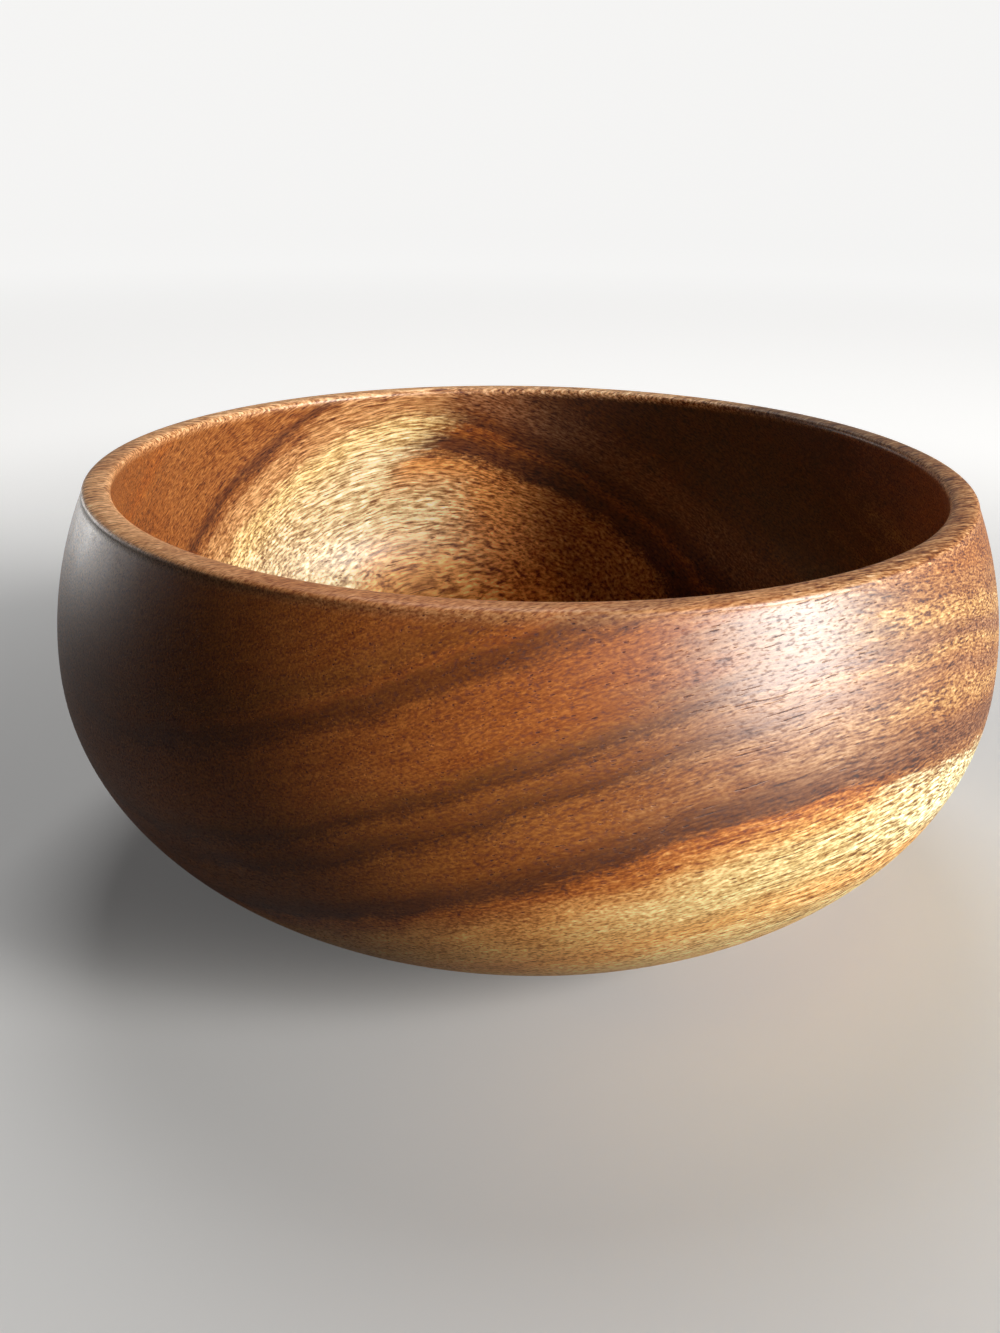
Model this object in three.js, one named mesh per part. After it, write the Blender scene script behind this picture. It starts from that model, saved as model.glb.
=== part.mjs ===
// A turned wooden bowl of calabash form: a flat foot, a full belly, a wall that draws in towards the
// mouth, and a softly crowned rim. It is one piece of wood, turned about +Z.
// Millimetres, +Z up, origin at the middle of the foot's flat face.
import * as THREE from 'three';

// Outside
const bellyDiameter = 250; // widest place
const bellyHeight = 66; // from the foot up to the widest place
const bowlHeight = 110.5; // from the foot up to the crest of the rim
const mouthDiameter = 230; // outside, just under the rim's crown
const footDiameter = 118; // flat face that the bowl stands on
const footCut = 1.5; // depth by which the foot's flat cuts into the round of the belly

// Rim
const rimWall = 7; // wall at the mouth
const rimCrown = 1.8; // height of the crown over the wall's two arrises
const crestOffset = 3.5; // from the outer arris in to the crest
const crownFullness = 0.74; // 0.55 is an ellipse, 1 a square corner

// Inside
const bellyWall = 9.5; // wall at the widest place
const floorThickness = 13;
const cavityBellyHeight = 67; // from the foot up to the widest place inside
const cavityFloorDiameter = 80; // level middle of the floor

// Facets
const turnSegments = 64;
const curveSteps = 6;

const arrisHeight = bowlHeight - rimCrown;

// Outer wall: an upright ellipse from the foot to the belly, then a parabola that leaves the belly upright
// and leans in to the mouth. The foot's flat cuts the ellipse off footCut above its lowest point.
function outerWall(profile) {
  const bellyRadius = bellyDiameter / 2;
  const footRadius = footDiameter / 2;
  const roundDepth = bellyHeight + footCut;
  const footAngle = Math.asin(bellyHeight / roundDepth);
  const roundWidth = (bellyRadius - footRadius) / (1 - Math.cos(footAngle));
  profile.lineTo(footRadius, 0);
  profile.absellipse(bellyRadius - roundWidth, bellyHeight, roundWidth, roundDepth, -footAngle, 0, false);
  profile.quadraticCurveTo(bellyRadius, (bellyHeight + arrisHeight) / 2, mouthDiameter / 2, arrisHeight);
}

// Rim: a crown of two fuller-than-elliptic quarters that meet at the crest.
function rim(profile) {
  const outerArris = mouthDiameter / 2;
  const innerArris = outerArris - rimWall;
  const crest = outerArris - crestOffset;
  const shoulder = arrisHeight + crownFullness * rimCrown;
  const outerReach = crest + crownFullness * (outerArris - crest);
  const innerReach = crest - crownFullness * (crest - innerArris);
  profile.bezierCurveTo(outerArris, shoulder, outerReach, bowlHeight, crest, bowlHeight);
  profile.bezierCurveTo(innerReach, bowlHeight, innerArris, shoulder, innerArris, arrisHeight);
}

// Cavity: the outer wall's two curves again, set in by the wall, down to a level floor.
function cavity(profile) {
  const cavityRadius = bellyDiameter / 2 - bellyWall;
  const floorRadius = cavityFloorDiameter / 2;
  const roundWidth = cavityRadius - floorRadius;
  const roundDepth = cavityBellyHeight - floorThickness;
  profile.quadraticCurveTo(cavityRadius, (cavityBellyHeight + arrisHeight) / 2, cavityRadius, cavityBellyHeight);
  profile.absellipse(floorRadius, cavityBellyHeight, roundWidth, roundDepth, 0, -Math.PI / 2, true);
  profile.lineTo(0, floorThickness);
}

// The half section starts and ends on the axis: foot, outer wall, rim, cavity.
function bowlGeometry() {
  const profile = new THREE.Path();
  profile.moveTo(0, 0);
  outerWall(profile);
  rim(profile);
  cavity(profile);
  const turned = new THREE.LatheGeometry(profile.getPoints(curveSteps), turnSegments);
  return turned.rotateX(Math.PI / 2);
}

const oiledWood = new THREE.MeshStandardMaterial({ color: 0x8f562c, roughness: 0.42, metalness: 0 });

const bowl = new THREE.Mesh(bowlGeometry(), oiledWood);
bowl.name = 'bowl';

const woodenBowl = new THREE.Group();
woodenBowl.add(bowl);

export default woodenBowl;
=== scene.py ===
import math
import bpy
import numpy as np
from mathutils import Matrix, Vector


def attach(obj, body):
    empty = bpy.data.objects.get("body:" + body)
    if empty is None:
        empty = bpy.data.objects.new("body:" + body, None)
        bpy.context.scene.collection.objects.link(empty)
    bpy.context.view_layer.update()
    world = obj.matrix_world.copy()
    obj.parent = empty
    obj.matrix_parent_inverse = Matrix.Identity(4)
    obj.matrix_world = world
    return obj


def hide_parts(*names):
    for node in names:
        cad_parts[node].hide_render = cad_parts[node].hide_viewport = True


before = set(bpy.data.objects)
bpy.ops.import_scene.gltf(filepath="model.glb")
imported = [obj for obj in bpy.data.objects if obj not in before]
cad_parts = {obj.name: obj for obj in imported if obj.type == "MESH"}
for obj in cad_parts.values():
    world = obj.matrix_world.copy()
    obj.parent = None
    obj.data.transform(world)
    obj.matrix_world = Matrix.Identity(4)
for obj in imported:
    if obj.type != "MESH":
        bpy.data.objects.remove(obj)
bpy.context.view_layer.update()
scene = bpy.context.scene
scene.view_settings.view_transform = "Standard"

mm = 0.001

# Bowl: the turned form in millimetres, +Z up, the foot's flat at zero
bowl = {
    "bellyDiameter": 250.0,
    "bellyHeight": 66.0,
    "bowlHeight": 110.5,
    "mouthDiameter": 230.0,
    "footDiameter": 118.0,
    "footCut": 1.5,
    "rimWall": 7.0,
    "rimCrown": 1.8,
    "crestOffset": 3.5,
    "crownFullness": 0.74,
    "bellyWall": 9.5,
    "floorThickness": 13.0,
    "cavityBellyHeight": 67.0,
    "cavityFloorDiameter": 80.0,
    "segments": 288,  # round the axis
    "wallSteps": 44,  # along each wall curve
    "rimSteps": 12,  # along each half of the rim's crown
    "flatSteps": 10,  # across the foot and the floor
}


# Ellipse: the centre plus the two radii times cosine and sine of an even run of angles
def ellipseArc(centre, radii, startAngle, endAngle, steps):
    turn = np.linspace(startAngle, endAngle, steps + 1)
    return np.stack([centre[0] + radii[0] * np.cos(turn), centre[1] + radii[1] * np.sin(turn)], 1)


# Bezier: each control point weighted by its Bernstein polynomial, for an even run of the parameter
def bezierArc(points, steps):
    degree = len(points) - 1
    t = np.linspace(0.0, 1.0, steps + 1)[:, None]
    weights = [math.comb(degree, k) * t**k * (1 - t) ** (degree - k) for k in range(degree + 1)]
    return sum(w * np.array(p) for w, p in zip(weights, points))


# Straight run: points spaced evenly between two ends
def straightRun(start, end, steps):
    t = np.linspace(0.0, 1.0, steps + 1)[:, None]
    return np.array(start) * (1 - t) + np.array(end) * t


# Half section of the bowl: foot, round of the belly, in-drawn wall, crowned rim, cavity, floor
def bowlSection(s):
    belly = s["bellyDiameter"] / 2
    foot = s["footDiameter"] / 2
    mouth = s["mouthDiameter"] / 2
    inner = mouth - s["rimWall"]
    crest = mouth - s["crestOffset"]
    arris = s["bowlHeight"] - s["rimCrown"]
    top = s["bowlHeight"]
    shoulder = arris + s["crownFullness"] * s["rimCrown"]
    roundDepth = s["bellyHeight"] + s["footCut"]
    footAngle = math.asin(s["bellyHeight"] / roundDepth)
    roundWidth = (belly - foot) / (1 - math.cos(footAngle))
    roundCentre = (belly - roundWidth, s["bellyHeight"])
    cavity = belly - s["bellyWall"]
    floorEdge = s["cavityFloorDiameter"] / 2
    cavityCentre = (floorEdge, s["cavityBellyHeight"])
    cavityRadii = (cavity - floorEdge, s["cavityBellyHeight"] - s["floorThickness"])
    outerReach = crest + s["crownFullness"] * (mouth - crest)
    innerReach = crest - s["crownFullness"] * (crest - inner)
    outerBend = (belly, (s["bellyHeight"] + arris) / 2)
    innerBend = (cavity, (s["cavityBellyHeight"] + arris) / 2)
    runs = [
        straightRun((0, 0), (foot, 0), s["flatSteps"]),
        ellipseArc(roundCentre, (roundWidth, roundDepth), -footAngle, 0, s["wallSteps"]),
        bezierArc([(belly, s["bellyHeight"]), outerBend, (mouth, arris)], s["wallSteps"]),
        bezierArc([(mouth, arris), (mouth, shoulder), (outerReach, top), (crest, top)], s["rimSteps"]),
        bezierArc([(crest, top), (innerReach, top), (inner, shoulder), (inner, arris)], s["rimSteps"]),
        bezierArc([(inner, arris), innerBend, (cavity, s["cavityBellyHeight"])], s["wallSteps"]),
        ellipseArc(cavityCentre, cavityRadii, 0, -math.pi / 2, s["wallSteps"]),
        straightRun((floorEdge, s["floorThickness"]), (0, s["floorThickness"]), s["flatSteps"]),
    ]
    return np.concatenate([runs[0]] + [run[1:] for run in runs[1:]]) * mm


# Turned surface: radius times cosine and sine of the turn, height as it is,
# with a pole at the section's start and, if closed, one at its end
def turnedMesh(name, section, segments, closed=True):
    turn = np.linspace(0.0, 2 * math.pi, segments, endpoint=False)
    rings = section[1:-1] if closed else section[1:]
    rows = len(rings)
    radius = rings[:, 0][:, None]
    height = np.broadcast_to(rings[:, 1][:, None], (rows, segments))
    grid = np.stack([radius * np.cos(turn), radius * np.sin(turn), height], 2)
    ends = [section[0], section[-1]] if closed else [section[0]]
    poles = np.array([[0, 0, end[1]] for end in ends])
    points = np.concatenate([grid.reshape(-1, 3), poles])
    ring = np.arange(segments)
    ahead = (ring + 1) % segments
    start = np.arange(rows - 1)[:, None] * segments
    quads = np.stack([start + ring, start + ahead, start + segments + ahead, start + segments + ring], 2)
    firstFan = np.stack([np.full(segments, rows * segments), ahead, ring], 1)
    faces = quads.reshape(-1, 4).tolist() + firstFan.tolist()
    if closed:
        last = (rows - 1) * segments
        lastFan = np.stack([last + ring, last + ahead, np.full(segments, rows * segments + 1)], 1)
        faces += lastFan.tolist()
    mesh = bpy.data.meshes.new(name)
    mesh.from_pydata(points.tolist(), [], faces)
    mesh.polygons.foreach_set("use_smooth", np.ones(len(mesh.polygons), dtype=bool))
    mesh.update()
    return mesh


# A node of the given kind; a socket as a value is linked, anything else is set
def addNode(tree, kind, inputs=None, **settings):
    node = tree.nodes.new(kind)
    for key, value in settings.items():
        setattr(node, key, value)
    for socket, value in (inputs or {}).items():
        if isinstance(value, bpy.types.NodeSocket):
            tree.links.new(value, node.inputs[socket])
        else:
            node.inputs[socket].default_value = value
    return node


# One sum on numbers
def calc(tree, operation, a, b=0.0, c=0.0):
    return addNode(tree, "ShaderNodeMath", {0: a, 1: b, 2: c}, operation=operation).outputs[0]


# One sum on vectors
def vecCalc(tree, operation, a, b=(0, 0, 0)):
    return addNode(tree, "ShaderNodeVectorMath", {0: a, 1: b}, operation=operation).outputs["Vector"]


# Smooth step from 0 at low to 1 at high, then spread between the two given ends
def ease(tree, value, low, high, start=0.0, end=1.0):
    inputs = {"Value": value, "From Min": low, "From Max": high, "To Min": start, "To Max": end}
    return addNode(tree, "ShaderNodeMapRange", inputs, interpolation_type="SMOOTHSTEP").outputs["Result"]


# Noise over cells of the given sizes in millimetres: along the fibre, out from the pith, round the pith
def grainNoise(tree, place, sizes, detail, roughness, output="Fac"):
    cells = vecCalc(tree, "DIVIDE", place, sizes)
    inputs = {"Vector": cells, "Scale": 1.0, "Detail": detail, "Roughness": roughness}
    return addNode(tree, "ShaderNodeTexNoise", inputs, noise_dimensions="3D").outputs[output]


# One colour laid over another by an amount
def blendColour(tree, amount, first, second, kind="MIX"):
    inputs = {"Factor": amount, 6: first, 7: second}
    node = addNode(tree, "ShaderNodeMix", inputs, data_type="RGBA", blend_type=kind, clamp_factor=True)
    return node.outputs[2]


# Linear colour of a screen colour given as 0 to 255
def screen(red, green, blue):
    part = np.array([red, green, blue]) / 255
    linear = np.where(part <= 0.04045, part / 12.92, ((part + 0.055) / 1.055) ** 2.4)
    return (*linear.tolist(), 1.0)


# Wood: a block whose pith runs past the bowl, above and in front, so that rings and fibres cross it aslant
wood = {
    "pith": (-1.277, -43.799, 187.193),  # a point on the pith line, millimetres
    "fibreTurn": 25.872,  # degrees, the fibres' heading from +X
    "fibreRise": 6.177,  # degrees, their rise
    "ringSquash": 0.982,  # rings are this much flatter than round
    "ringRange": (80.0, 220.0),  # ring radii that the tone runs cover, millimetres
    "middleRing": 140.0,  # ring radius at which a turn round the pith is measured
    "fibreSway": (26.0, 20.0, 3.0),  # cells along and across the fibre and how far it sways, millimetres
    "ringSway": (150.0, 60.0, 5.0),  # the same for the rings
    "vesselSpacing": 0.8,  # millimetres between vessels
    "wedge": (173.0, 1.6),  # ring radius on which the brown wedge's edge turns, and the edge's slope
    "rind": (0.92, 0.79, 0.58, 1.0),  # tint of the pale wood towards the outside of the block
    "shell": (0.86, 0.66, 0.45, 1.0),  # tint of the pale wood on the bowl's outer wall at the back
    "shadeBase": 1.08,
    "shadeLeast": 0.2,
    "shadeMost": (3.0, 1.0),  # in general, and on the outer wall at the back
    "tintPowers": (1.0, 1.5, 2.1),  # how fast red, green and blue fall off in a shade
    "vesselShade": -0.65,
    "vesselRough": 0.25,
    "wearRough": 0.1,
    "gritRelief": 0.6,  # height of the grit against a vessel's depth
    "bump": {"Strength": 0.35, "Distance": 0.00012},
    "finish": {"IOR": 1.5, "Specular IOR Level": 0.3, "Coat Weight": 0.12, "Coat Roughness": 0.3},
    "grain": {  # cell sizes in millimetres along the fibre, out from and round the pith; detail; roughness
        "fine": ((9.0, 0.45, 0.6), 3.0, 0.6),
        "wide": ((70.0, 3.0, 6.0), 3.0, 0.55),
        "mottle": ((45.0, 12.0, 14.0), 2.0, 0.5),
        "grit": ((1.4, 0.5, 0.6), 1.5, 0.6),
        "strokes": ((6.5, 0.5, 1.05), 1.5, 0.5),
        "lines": ((110.0, 1.1, 9.0), 2.0, 0.6),
        "pinch": ((5.0, 1.5, 1.5), 1.0, 0.5),
    },
    "amounts": {  # what a field's departure from its middle is multiplied by
        "featherWide": 6.0,
        "featherFine": 4.0,
        "featherGrit": 2.5,
        "zoneWide": 40.0,
        "backWide": 60.0,
        "edgeMottle": 8.0,
        "edgeFine": 20.0,
        "sideFine": 24.0,
        "wearFine": 2.5 * mm,
        "shadeMottle": 0.35,
        "shadeWide": 0.5,
        "shadeFine": 0.4,
        "shadeLines": 0.6,
        "shadeSheath": 0.16,
    },
    "steps": {  # smooth steps: from, to, and the values at both ends if not 0 and 1
        "turning": (140.0, 160.0, 0.0, 15.0),
        "right": (-38.0, 22.0),
        "farRight": (12.0, 52.0),
        "back": (-60.0, 60.0),
        "backShift": (-35.0, 5.0, -2.4, 2.4),
        "rindAlong": (-66.0, -84.0),
        "rindLevel": (152.0, 163.0),
        "shellFacing": (-0.01, 0.005),
        "shellLevel": (40.0, 80.0),
        "shellRing": (164.0, 174.0),
        "wedgeEdge": (27.0, 41.0),
        "wedgeRing": (186.0, 196.0, 1.0, 0.0),
        "brownAlong": (18.0, 44.0),
        "brownRing": (150.0, 170.0, 1.0, 0.0),
        "brownLevel": (5.0, 85.0, 0.25, 1.0),
        # painted shade: the brown patch darkens towards the far end of the fibre
        "brownPaintedShade": (44.0, 70.0, 1.0, 0.42),
        "wearHeight": (106.8 * mm, 110.2 * mm),
        "wearGrit": (0.3, 0.55, 0.45, 1.0),
        "wearLeft": (-112.0, -72.0, 1.0, 0.34),
        "wearRight": (30.0, 90.0, 1.0, 0.6),
        "wearBack": (60.0, 110.0, 0.0, 0.85),
        "bore": (0.25, 1.0, -0.02, 0.21),  # bore in parts of the spacing; below nought there is none
        "pinch": (0.38, 0.58, -0.13, 0.0),
        "vessel": (-0.03, 0.06, 1.0, 0.0),
        "sheath": (0.02, 0.35, 1.0, 0.0),
        "strokesAlong": (-35.0, 45.0, 0.6, 3.6),
        "strokesLevel": (-10.0, 40.0, 0.0, 3.0),
        "gritLevel": (-10.0, 40.0, 2.0, 0.9),
        "roughMottle": (0.3, 0.7, 0.43, 0.49),
        "roughGrit": (0.34, 0.46, 0.2, 0.0),
    },
    "tones": {
        "cream": screen(250, 222, 166),
        "gold": screen(250, 216, 144),
        "pale": screen(244, 224, 164),
        "honey": screen(250, 182, 100),
        "wheat": screen(246, 168, 88),
        "sand": screen(212, 152, 92),
        "copper": screen(224, 150, 76),
        "straw": screen(184, 128, 80),
        "fawn": screen(160, 116, 78),
        "thatch": screen(166, 105, 53),
        "reed": screen(194, 138, 76),
        "tan": screen(191, 103, 36),
        "clay": screen(152, 96, 56),
        "brown": screen(170, 94, 31),
        "amber": screen(162, 95, 40),
        "umber": screen(120, 61, 13),
        "rust": screen(140, 72, 20),
        "dusk": screen(132, 78, 42),
        "cocoa": screen(110, 56, 20),
        # painted shade: the dark brown of the hollow's shadowed right wall
        "shade": screen(106, 53, 16),
        "streak": screen(114, 58, 18),
        "worn": screen(242, 180, 120),
    },
    # Front: the wheat and honey bands low down are paler partly as painted light thrown up from the floor,
    # and partly the wood's own tone
    "frontRings": [
        (80, "tan"),
        (90, "tan"),
        (96, "brown"),
        (98.5, "tan"),
        (101, "rust"),
        (103.3, "rust"),
        (106.5, "tan"),
        (117, "tan"),
        (120.5, "brown"),
        (123, "umber"),
        (126, "brown"),
        (130, "umber"),
        (133, "brown"),
        (138, "brown"),
        (142, "streak"),
        (144.2, "streak"),
        (146.5, "tan"),
        (152, "wheat"),
        (158, "honey"),
        (163, "wheat"),
        (170, "honey"),
        (177, "honey"),
        (181, "brown"),
        (184, "honey"),
        (200, "amber"),
        (210, "honey"),
    ],
    # Right: paler and yellower than the front, partly the wood's own tone and partly painted fibre sheen on
    # the lit side
    "rightRings": [
        (80, "brown"),
        (107, "brown"),
        # fawn: greyer where the lamps' highlight falls, so that the highlight shows whiter; a tone partly
        # set by the light
        (110.5, "fawn"),
        (118, "fawn"),
        (122.5, "clay"),
        (125, "straw"),
        (129.5, "clay"),
        (132, "straw"),
        (138, "straw"),
        (142.2, "dusk"),
        (144.4, "dusk"),
        (146.5, "tan"),
        (149, "honey"),
        (152, "gold"),
        (159, "gold"),
        (164, "honey"),
        (170, "gold"),
        (177, "honey"),
        (181, "clay"),
        (184, "honey"),
        (200, "amber"),
        (210, "honey"),
    ],
    # Far right: paler still, partly the wood's own tone and partly painted fibre sheen on the lit side
    "farRings": [
        (80, "amber"),
        (107, "amber"),
        (111, "thatch"),
        (113.5, "thatch"),
        (116, "reed"),
        (118.5, "reed"),
        (121, "clay"),
        (122.5, "clay"),
        (125, "reed"),
        (127, "thatch"),
        (128.7, "clay"),
        (131, "thatch"),
        (134, "reed"),
        (137, "thatch"),
        (140, "dusk"),
        (144, "dusk"),
        (147, "thatch"),
        (150.5, "pale"),
        (158, "pale"),
        (164, "honey"),
        (170, "gold"),
        (177, "honey"),
        (181, "clay"),
        (184, "honey"),
        (200, "amber"),
    ],
    # Back: the gold and cream bands on the hollow's lit left side are partly the wood's own tone and partly
    # painted fibre sheen
    "backRings": [
        (80, "amber"),
        (120, "amber"),
        (127, "brown"),
        (131, "amber"),
        (155, "amber"),
        (161.5, "amber"),
        (163.6, "cocoa"),
        (164.8, "cocoa"),
        (166.5, "amber"),
        (170, "sand"),
        (174, "sand"),
        (178.5, "gold"),
        (185, "cream"),
        (200, "cream"),
        (206, "honey"),
        (213, "brown"),
        (216, "amber"),
    ],
    # Brown patch: the shade tone over the inner rings is painted shade on the hollow's shadowed right wall;
    # the darker bands and the copper are the wood's own tones
    "brownRings": [
        (80, "shade"),
        (150, "shade"),
        (157, "umber"),
        (162, "clay"),
        (168.5, "clay"),
        (171.5, "umber"),
        (174, "cocoa"),
        (176.5, "brown"),
        (178.5, "umber"),
        (180.3, "cocoa"),
        (182.3, "cocoa"),
        (185, "copper"),
        (202, "copper"),
        (206, "wheat"),
    ],
}


# Smooth step of the wood by its name
def woodStep(tree, value, name):
    return ease(tree, value, *wood["steps"][name])


# A field's departure from its middle, times an amount, added to a base
def addPart(tree, field, amount, base):
    return calc(tree, "MULTIPLY_ADD", calc(tree, "SUBTRACT", field, 0.5), amount, base)


# The same with an amount of the wood by its name
def woodPart(tree, field, name, base):
    return addPart(tree, field, wood["amounts"][name], base)


# A run of tones over the ring radius
def ringTones(tree, ringRadius, rings):
    low, high = wood["ringRange"]
    inputs = {"Value": ringRadius, "From Min": low, "From Max": high}
    place = addNode(tree, "ShaderNodeMapRange", inputs).outputs["Result"]
    ramp = addNode(tree, "ShaderNodeValToRGB", {"Fac": place})
    stops = ramp.color_ramp.elements
    while len(stops) < len(rings):
        stops.new(0.5)
    for stop, (radius, tone) in zip(stops, rings):
        stop.position = (radius - low) / (high - low)
        stop.color = wood["tones"][tone]
    return ramp.outputs["Color"]


# Sway: a noise of three parts, centred, that moves a place across the fibre only
def sway(tree, place, along, across, amount):
    field = grainNoise(tree, place, (along, across, across), 2.0, 0.5, "Color")
    centred = vecCalc(tree, "SUBTRACT", field, (0.5, 0.5, 0.5))
    return vecCalc(tree, "ADD", place, vecCalc(tree, "MULTIPLY", centred, (0.0, amount, amount)))


# Tint of a shade: red, green and blue each raise it to a power of their own, so darker wood is redder
def shadeTint(tree, shade):
    parts = {k: calc(tree, "POWER", shade, power) for k, power in enumerate(wood["tintPowers"])}
    return addNode(tree, "ShaderNodeCombineXYZ", parts).outputs[0]


# The block unrolled: along the fibre, out from the pith, round the pith, in millimetres
def unrolledBlock(tree, coords):
    turn, rise = math.radians(wood["fibreTurn"]), math.radians(wood["fibreRise"])
    mapping = addNode(tree, "ShaderNodeMapping", {"Vector": coords}, vector_type="TEXTURE")
    mapping.inputs["Location"].default_value = [c * mm for c in wood["pith"]]
    mapping.inputs["Rotation"].default_value = (0, -rise, turn)
    mapping.inputs["Scale"].default_value = (mm, mm, mm)
    fibre = sway(tree, mapping.outputs["Vector"], *wood["fibreSway"])
    ringPlace = sway(tree, fibre, *wood["ringSway"])
    along, level, upright = addNode(tree, "ShaderNodeSeparateXYZ", {0: ringPlace}).outputs
    flat = vecCalc(tree, "MULTIPLY", ringPlace, (0.0, 1.0, wood["ringSquash"]))
    radius = addNode(tree, "ShaderNodeVectorMath", {0: flat}, operation="LENGTH").outputs["Value"]
    around = calc(tree, "MULTIPLY", calc(tree, "ARCTAN2", upright, level), wood["middleRing"])
    return {"along": along, "level": level, "radius": radius, "around": around}


# Noise fields of the grain by their names
def grainFields(tree, place):
    parts = {0: place["along"], 1: place["radius"], 2: place["around"]}
    grain = addNode(tree, "ShaderNodeCombineXYZ", parts).outputs[0]
    return {name: grainNoise(tree, grain, *cell) for name, cell in wood["grain"].items()}


# Vessels: tubes along the fibre, each with its own bore, pinched here and there; the distance to the bore
def vesselGap(tree, place, fields):
    outward = calc(tree, "DIVIDE", place["radius"], wood["vesselSpacing"])
    sideways = calc(tree, "DIVIDE", place["around"], wood["vesselSpacing"])
    cells = addNode(tree, "ShaderNodeCombineXYZ", {0: outward, 1: sideways}).outputs[0]
    inputs = {"Vector": cells, "Scale": 1.0, "Randomness": 1.0}
    field = addNode(tree, "ShaderNodeTexVoronoi", inputs, voronoi_dimensions="2D", feature="F1")
    pick = addNode(tree, "ShaderNodeSeparateColor", {0: field.outputs["Color"]}).outputs[0]
    pinch = woodStep(tree, fields["pinch"], "pinch")
    bore = calc(tree, "ADD", woodStep(tree, pick, "bore"), pinch)
    return calc(tree, "SUBTRACT", field.outputs["Distance"], bore)


# Outer wall at the back: faces away from the bowl's axis, lies behind the pith and in the outer rings
def outerShell(tree, coords, faced, place):
    fromAxis = vecCalc(tree, "MULTIPLY", coords, (1.0, 1.0, 0.0))
    inputs = {0: faced, 1: fromAxis}
    facing = addNode(tree, "ShaderNodeVectorMath", inputs, operation="DOT_PRODUCT").outputs["Value"]
    behind = woodStep(tree, place["level"], "shellLevel")
    shell = calc(tree, "MULTIPLY", woodStep(tree, facing, "shellFacing"), behind)
    return calc(tree, "MULTIPLY", shell, woodStep(tree, place["radius"], "shellRing"))


# Front: its tones go over to those of the right and the far right along the fibre, with a wavering edge;
# the paler, yellower tones on the right are partly the wood's own and partly painted sheen of the fibres on
# the side the light comes from
def frontTones(tree, place, fields, feathered):
    front = ringTones(tree, feathered, wood["frontRings"])
    right = ringTones(tree, feathered, wood["rightRings"])
    farRight = ringTones(tree, feathered, wood["farRings"])
    turning = calc(tree, "ADD", place["along"], woodStep(tree, place["radius"], "turning"))
    toRight = woodStep(tree, woodPart(tree, fields["wide"], "zoneWide", turning), "right")
    front = blendColour(tree, toRight, front, right)
    toFar = woodStep(tree, woodPart(tree, fields["wide"], "zoneWide", place["along"]), "farRight")
    return blendColour(tree, toFar, front, farRight)


# Share of the brown patch at the back: a wedge, or the far end of the fibre, where its darker tones are
# partly painted shade for the hollow's shadowed right side; less on the bowl's floor
def brownShare(tree, place, fields):
    turnRing, slope = wood["wedge"]
    fromRing = calc(tree, "SUBTRACT", place["radius"], turnRing)
    edge = calc(tree, "MULTIPLY_ADD", fromRing, slope, place["along"])
    edge = woodPart(tree, fields["mottle"], "edgeMottle", edge)
    edge = woodPart(tree, fields["fine"], "edgeFine", edge)
    inRings = woodStep(tree, place["radius"], "wedgeRing")
    wedge = calc(tree, "MULTIPLY", woodStep(tree, edge, "wedgeEdge"), inRings)
    farEnd = woodStep(tree, woodPart(tree, fields["fine"], "sideFine", place["along"]), "brownAlong")
    side = calc(tree, "MAXIMUM", wedge, farEnd)
    wavering = woodPart(tree, fields["wide"], "zoneWide", place["level"])
    onWall = woodStep(tree, place["radius"], "brownRing")
    lowFloor = calc(tree, "MAXIMUM", onWall, woodStep(tree, wavering, "brownLevel"))
    return calc(tree, "MULTIPLY", side, lowFloor)


# Back: ring tones, tinted towards the block's outside and on the outer wall, with the brown patch laid
# over; the gold and cream bands are partly painted fibre sheen, and the brown patch darkens towards the far
# end as painted shade
def backTones(tree, place, fields, feathered, shell):
    along = place["along"]
    shifted = calc(tree, "ADD", feathered, woodStep(tree, along, "backShift"))
    back = ringTones(tree, shifted, wood["backRings"])
    rindLevel = woodStep(tree, place["level"], "rindLevel")
    rind = calc(tree, "MAXIMUM", woodStep(tree, along, "rindAlong"), rindLevel)
    back = blendColour(tree, rind, back, blendColour(tree, 1.0, back, wood["rind"], "MULTIPLY"))
    back = blendColour(tree, shell, back, blendColour(tree, 1.0, back, wood["shell"], "MULTIPLY"))
    brown = ringTones(tree, feathered, wood["brownRings"])
    # Painted shade: the brown patch darkens towards the far end of the fibre, where the hollow's right side
    # lies in shadow
    darker = woodStep(tree, woodPart(tree, fields["fine"], "edgeFine", along), "brownPaintedShade")
    inputs = {0: brown, "Scale": darker}
    brown = addNode(tree, "ShaderNodeVectorMath", inputs, operation="SCALE").outputs["Vector"]
    return blendColour(tree, brownShare(tree, place, fields), back, brown)


# Wear of the rim's crown: grows with the height, broken up by grit, most at the left and the back
def rimWear(tree, coords, place, fields):
    height = addNode(tree, "ShaderNodeSeparateXYZ", {0: coords}).outputs[2]
    wear = woodStep(tree, woodPart(tree, fields["fine"], "wearFine", height), "wearHeight")
    wear = calc(tree, "MULTIPLY", wear, woodStep(tree, fields["grit"], "wearGrit"))
    left = woodStep(tree, place["along"], "wearLeft")
    left = calc(tree, "MULTIPLY", left, woodStep(tree, place["along"], "wearRight"))
    most = calc(tree, "MAXIMUM", left, woodStep(tree, place["level"], "wearBack"))
    return calc(tree, "MULTIPLY", wear, most)


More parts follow.
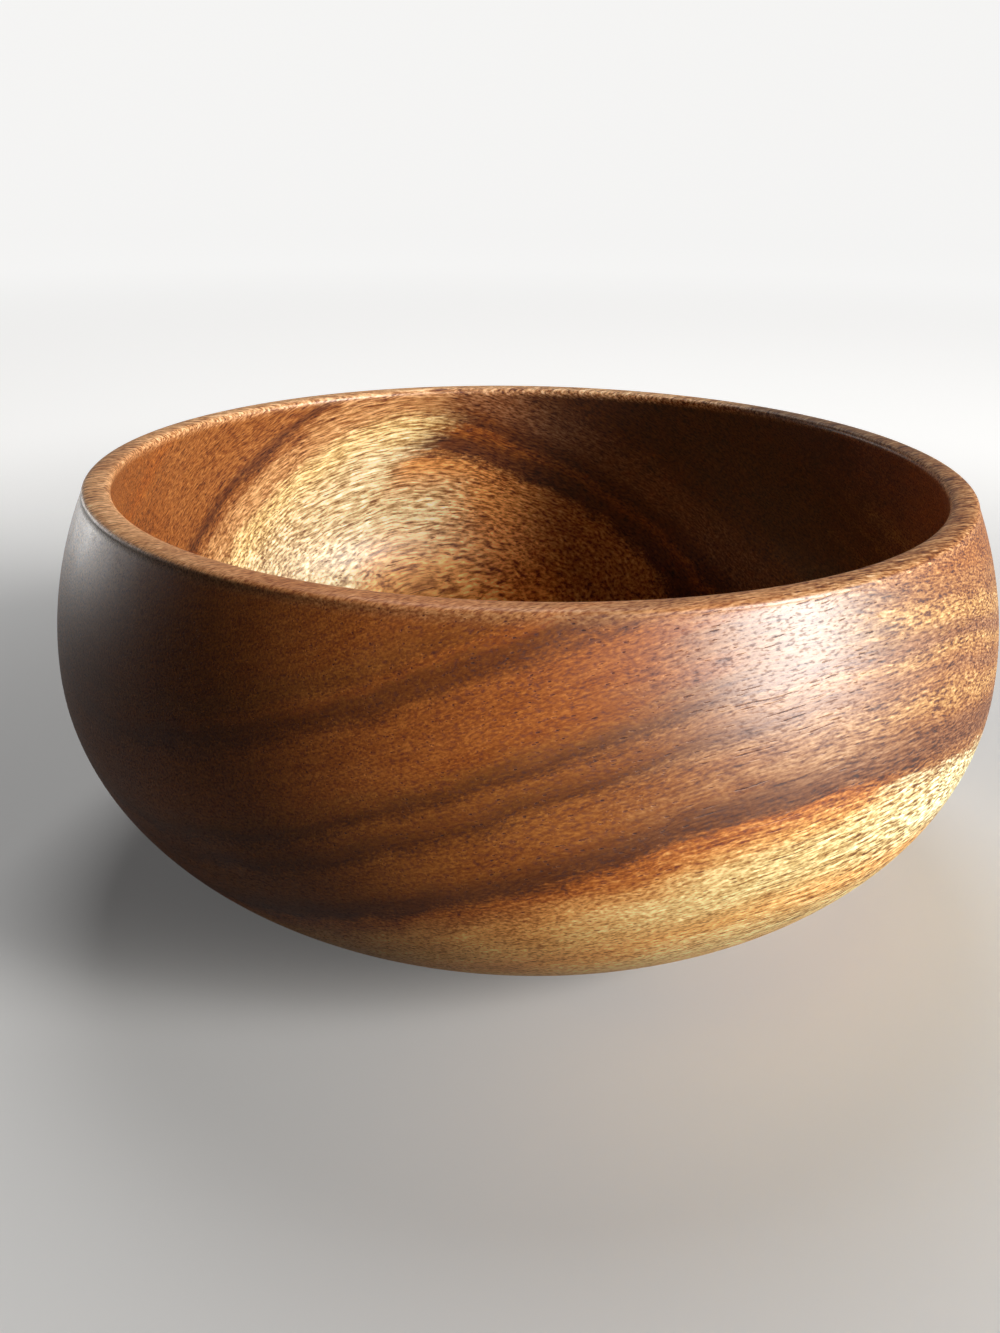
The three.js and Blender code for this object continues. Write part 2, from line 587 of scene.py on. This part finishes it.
# Shade: a base plus the grain's fields, the paler sheaths and the darker vessels, held between two ends;
# the strokes grow towards the right and the back
def woodShade(tree, place, fields, vessel, sheath, shell):
    level = place["level"]
    boldAlong = woodStep(tree, place["along"], "strokesAlong")
    boldness = calc(tree, "MAXIMUM", boldAlong, woodStep(tree, level, "strokesLevel"))
    shade = wood["shadeBase"]
    for name, amount in (
        ("mottle", "shadeMottle"),
        ("wide", "shadeWide"),
        ("fine", "shadeFine"),
        ("lines", "shadeLines"),
    ):
        shade = woodPart(tree, fields[name], amount, shade)
    shade = addPart(tree, fields["grit"], woodStep(tree, level, "gritLevel"), shade)
    shade = woodPart(tree, sheath, "shadeSheath", shade)
    shade = addPart(tree, fields["strokes"], boldness, shade)
    shade = calc(tree, "MULTIPLY_ADD", vessel, wood["vesselShade"], shade)
    shade = calc(tree, "MAXIMUM", shade, wood["shadeLeast"])
    most, mostOnShell = wood["shadeMost"]
    return calc(tree, "MINIMUM", shade, calc(tree, "MULTIPLY_ADD", shell, mostOnShell - most, most))


# Oiled wood: tones by ring radius, paler where the rim is worn, times the tint of the shade
def oiledWood():
    material = bpy.data.materials.new("oiled_wood")
    material.use_nodes = True
    tree = material.node_tree
    tree.nodes.clear()
    texture = addNode(tree, "ShaderNodeTexCoord").outputs
    coords = texture["Object"]
    place = unrolledBlock(tree, coords)
    fields = grainFields(tree, place)
    shell = outerShell(tree, coords, texture["Normal"], place)
    # The grain feathers the rings
    feathered = woodPart(tree, fields["fine"], "featherFine", place["radius"])
    feathered = woodPart(tree, fields["wide"], "featherWide", feathered)
    feathered = woodPart(tree, fields["grit"], "featherGrit", feathered)
    front = frontTones(tree, place, fields, feathered)
    back = backTones(tree, place, fields, feathered, shell)
    toBack = woodStep(tree, woodPart(tree, fields["wide"], "backWide", place["level"]), "back")
    colour = blendColour(tree, toBack, front, back)
    wear = rimWear(tree, coords, place, fields)
    colour = blendColour(tree, wear, colour, wood["tones"]["worn"])
    gap = vesselGap(tree, place, fields)
    vessel = woodStep(tree, gap, "vessel")
    sheath = woodStep(tree, gap, "sheath")
    shade = woodShade(tree, place, fields, vessel, sheath, shell)
    colour = blendColour(tree, 1.0, colour, shadeTint(tree, shade), "MULTIPLY")
    # Vessels, worn wood and the grit's low spots are duller
    rough = woodStep(tree, fields["mottle"], "roughMottle")
    rough = calc(tree, "MULTIPLY_ADD", vessel, wood["vesselRough"], rough)
    rough = calc(tree, "MULTIPLY_ADD", wear, wood["wearRough"], rough)
    rough = calc(tree, "ADD", rough, woodStep(tree, fields["grit"], "roughGrit"))
    relief = calc(tree, "MULTIPLY", fields["grit"], wood["gritRelief"])
    relief = calc(tree, "SUBTRACT", relief, vessel)
    bump = addNode(tree, "ShaderNodeBump", {"Height": relief, **wood["bump"]}).outputs["Normal"]
    inputs = {"Base Color": colour, "Roughness": rough, "Normal": bump, "Coat Normal": bump}
    shader = addNode(tree, "ShaderNodeBsdfPrincipled", {**wood["finish"], **inputs})
    addNode(tree, "ShaderNodeOutputMaterial", {"Surface": shader.outputs["BSDF"]})
    return material


bowlMesh = turnedMesh("turned_bowl", bowlSection(bowl), bowl["segments"])
bowlPiece = bpy.data.objects.new("turned_bowl", bowlMesh)
scene.collection.objects.link(bowlPiece)
bowlPiece.data.materials.append(oiledWood())
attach(bowlPiece, "root")
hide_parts("bowl")
print("bowl turned,", len(bowlPiece.data.polygons), "faces")

# Studio: a pale round floor that bends up into a wall all about
studio = {
    "paper": (0.7, 0.695, 0.685, 1.0),  # what the camera and reflections see lit
    "bounce": (0.07, 0.07, 0.07, 1.0),  # what the room throws back onto the bowl
    "sunnyBounce": (0.32, 0.31, 0.29, 1.0),  # and its lit side
    "sunnyRun": (-0.05, 0.3),  # metres along +X
    "roughness": 0.9,
    "glow": (1.0, 0.995, 0.985, 1.0),
    "reflected": 0.32,  # how much of the paper and its glow reflections show
    "glowNear": 0.08,  # pale glow in front of the bowl and beside it
    "glowBehind": 0.5,  # just behind it
    "glowFar": 0.9,  # and at the far wall
    "plainRadius": 0.15,  # metres; to the eye the glow grows outwards from here, in reflections along +Y
    "nearRun": (0.0, 0.5),
    "farRun": (0.3, 1.8),
    "fadeRun": (0.7, 1.6),  # heights over which the wall's glow fades in reflections
    "fadeTop": 0.3,
    "floorRadius": 2.8,
    "bendRadius": 1.2,
    "top": 3.2,
    "segments": 128,
    "floorSteps": 8,
    "bendSteps": 24,
}


# Ray kinds that see the backdrop itself: camera, glossy in part, and transmission
def seenRays(tree, rays, reflected):
    glossy = calc(tree, "MULTIPLY", rays["Is Glossy Ray"], reflected)
    either = calc(tree, "MAXIMUM", rays["Is Camera Ray"], glossy)
    return calc(tree, "MAXIMUM", either, rays["Is Transmission Ray"])


# Pale paper: its own colour to the eye, a duller one to bounced light, and a glow that grows with distance
def paleMaterial(s):
    material = bpy.data.materials.new("pale_paper")
    material.use_nodes = True
    material.cycles.emission_sampling = "NONE"
    tree = material.node_tree
    shader = tree.nodes["Principled BSDF"]
    shader.inputs["Roughness"].default_value = s["roughness"]
    shader.inputs["Specular IOR Level"].default_value = 0.0
    shader.inputs["Emission Color"].default_value = s["glow"]
    rays = addNode(tree, "ShaderNodeLightPath").outputs
    seen = seenRays(tree, rays, s["reflected"])
    coords = addNode(tree, "ShaderNodeTexCoord").outputs["Object"]
    place = addNode(tree, "ShaderNodeSeparateXYZ", {0: coords}).outputs
    level = vecCalc(tree, "MULTIPLY", coords, (1.0, 1.0, 0.0))
    radius = addNode(tree, "ShaderNodeVectorMath", {0: level}, operation="LENGTH").outputs["Value"]
    outward = calc(tree, "SUBTRACT", calc(tree, "SUBTRACT", radius, s["plainRadius"]), place[1])
    distance = calc(tree, "MULTIPLY_ADD", rays["Is Camera Ray"], outward, place[1])
    far = ease(tree, distance, *s["farRun"])
    paper = blendColour(tree, far, s["paper"], s["bounce"])
    sunny = ease(tree, place[0], *s["sunnyRun"])
    bounce = blendColour(tree, sunny, s["bounce"], s["sunnyBounce"])
    tree.links.new(blendColour(tree, seen, bounce, paper), shader.inputs["Base Color"])
    near = ease(tree, distance, *s["nearRun"], s["glowNear"], s["glowBehind"])
    glow = calc(tree, "MULTIPLY_ADD", far, s["glowFar"] - s["glowBehind"], near)
    fade = ease(tree, place[2], *s["fadeRun"], 1.0, s["fadeTop"])
    glow = calc(tree, "MULTIPLY", glow, calc(tree, "MAXIMUM", fade, rays["Is Camera Ray"]))
    tree.links.new(calc(tree, "MULTIPLY", glow, seen), shader.inputs["Emission Strength"])
    return material


# Room: a level floor, a quarter circle and an upright wall, turned about the bowl's axis
def paleRoom(s):
    bend = s["bendRadius"]
    arc = ellipseArc((s["floorRadius"], bend), (bend, bend), -math.pi / 2, 0, s["bendSteps"])
    floorRun = straightRun((0, 0), (s["floorRadius"], 0), s["floorSteps"])[:-1]
    section = np.concatenate([floorRun, arc, [(s["floorRadius"] + bend, s["top"])]])
    room = bpy.data.objects.new("room", turnedMesh("room", section, s["segments"], closed=False))
    room.data.materials.append(paleMaterial(s))
    scene.collection.objects.link(room)


paleRoom(studio)
print("room set")

# Lamps: a tall window-like key low from the right, its broader gleam and a card in reflections only,
# and a weak top light; turn and rise in degrees, reach and size in metres
lamps = [
    {
        "name": "key",
        "turn": -24.0,
        "rise": 16.5,
        "reach": 2.4,
        "size": (0.6, 1.45),
        "watts": 79.0,
        "colour": (1.0, 0.985, 0.96),
    },
    {
        "name": "gleam",
        "turn": -30.0,
        "rise": 15.0,
        "reach": 2.3,
        "size": (1.0, 1.1),
        "watts": 165.0,
        "colour": (1.0, 0.99, 0.97),
        "reflectedOnly": True,
    },
    {
        "name": "card",
        "turn": 146.0,
        "rise": 1.0,
        "reach": 1.2,
        "size": (0.4, 0.6),
        "watts": 7.5,
        "colour": (1.0, 1.0, 0.98),
        "reflectedOnly": True,
    },
    {
        "name": "top",
        "turn": 95.0,
        "rise": 62.0,
        "reach": 1.8,
        "size": (0.8, 0.8),
        "watts": 11.0,
        "colour": (1.0, 1.0, 1.0),
    },
]
aim = Vector((0.0, 0.0, 0.06))


# Lamp place: the aim point plus the reach along a heading and a rise
def addLamp(s):
    turn, rise = math.radians(s["turn"]), math.radians(s["rise"])
    back = Vector((math.cos(turn) * math.cos(rise), math.sin(turn) * math.cos(rise), math.sin(rise)))
    light = bpy.data.lights.new(s["name"], "AREA")
    light.shape = "RECTANGLE"
    light.size, light.size_y = s["size"]
    light.energy = s["watts"]
    light.color = s["colour"]
    lamp = bpy.data.objects.new(s["name"], light)
    lamp.location = aim + back * s["reach"]
    lamp.visible_camera = False
    lamp.visible_diffuse = not s.get("reflectedOnly", False)
    lamp.rotation_euler = (-back).to_track_quat("-Z", "Y").to_euler()
    scene.collection.objects.link(lamp)


for lampSettings in lamps:
    addLamp(lampSettings)

# World: a low even light
ambient = {"colour": (0.9, 0.95, 1.0, 1.0), "strength": 0.012}
world = bpy.data.worlds.new("studio")
world.use_nodes = True
worldShade = world.node_tree.nodes["Background"]
worldShade.inputs["Color"].default_value = ambient["colour"]
worldShade.inputs["Strength"].default_value = ambient["strength"]
scene.world = world
print("lit")

# Camera: stands in front and above, looks down onto the bowl
camera = {
    "place": (0.0, -0.31932, 0.18740),  # metres
    "yaw": -0.02128,  # radians, to the right
    "pitch": 0.40628,  # down
    "roll": 0.01497,  # the right side up
    "focalPixels": 1200.0,
    "framePixels": 1333.0,
    "sensor": 36.0,  # millimetres
    "nearest": 0.01,  # metres
}
lens = bpy.data.cameras.new("camera")
lens.sensor_width = camera["sensor"]
lens.lens = camera["focalPixels"] * camera["sensor"] / camera["framePixels"]
lens.clip_start = camera["nearest"]
viewer = bpy.data.objects.new("camera", lens)
turned = Matrix.Rotation(-camera["yaw"], 3, "Z") @ Matrix.Rotation(math.pi / 2 - camera["pitch"], 3, "X")
viewer.rotation_euler = (turned @ Matrix.Rotation(camera["roll"], 3, "Z")).to_euler()
viewer.location = camera["place"]
scene.collection.objects.link(viewer)
scene.camera = viewer
print("camera set")
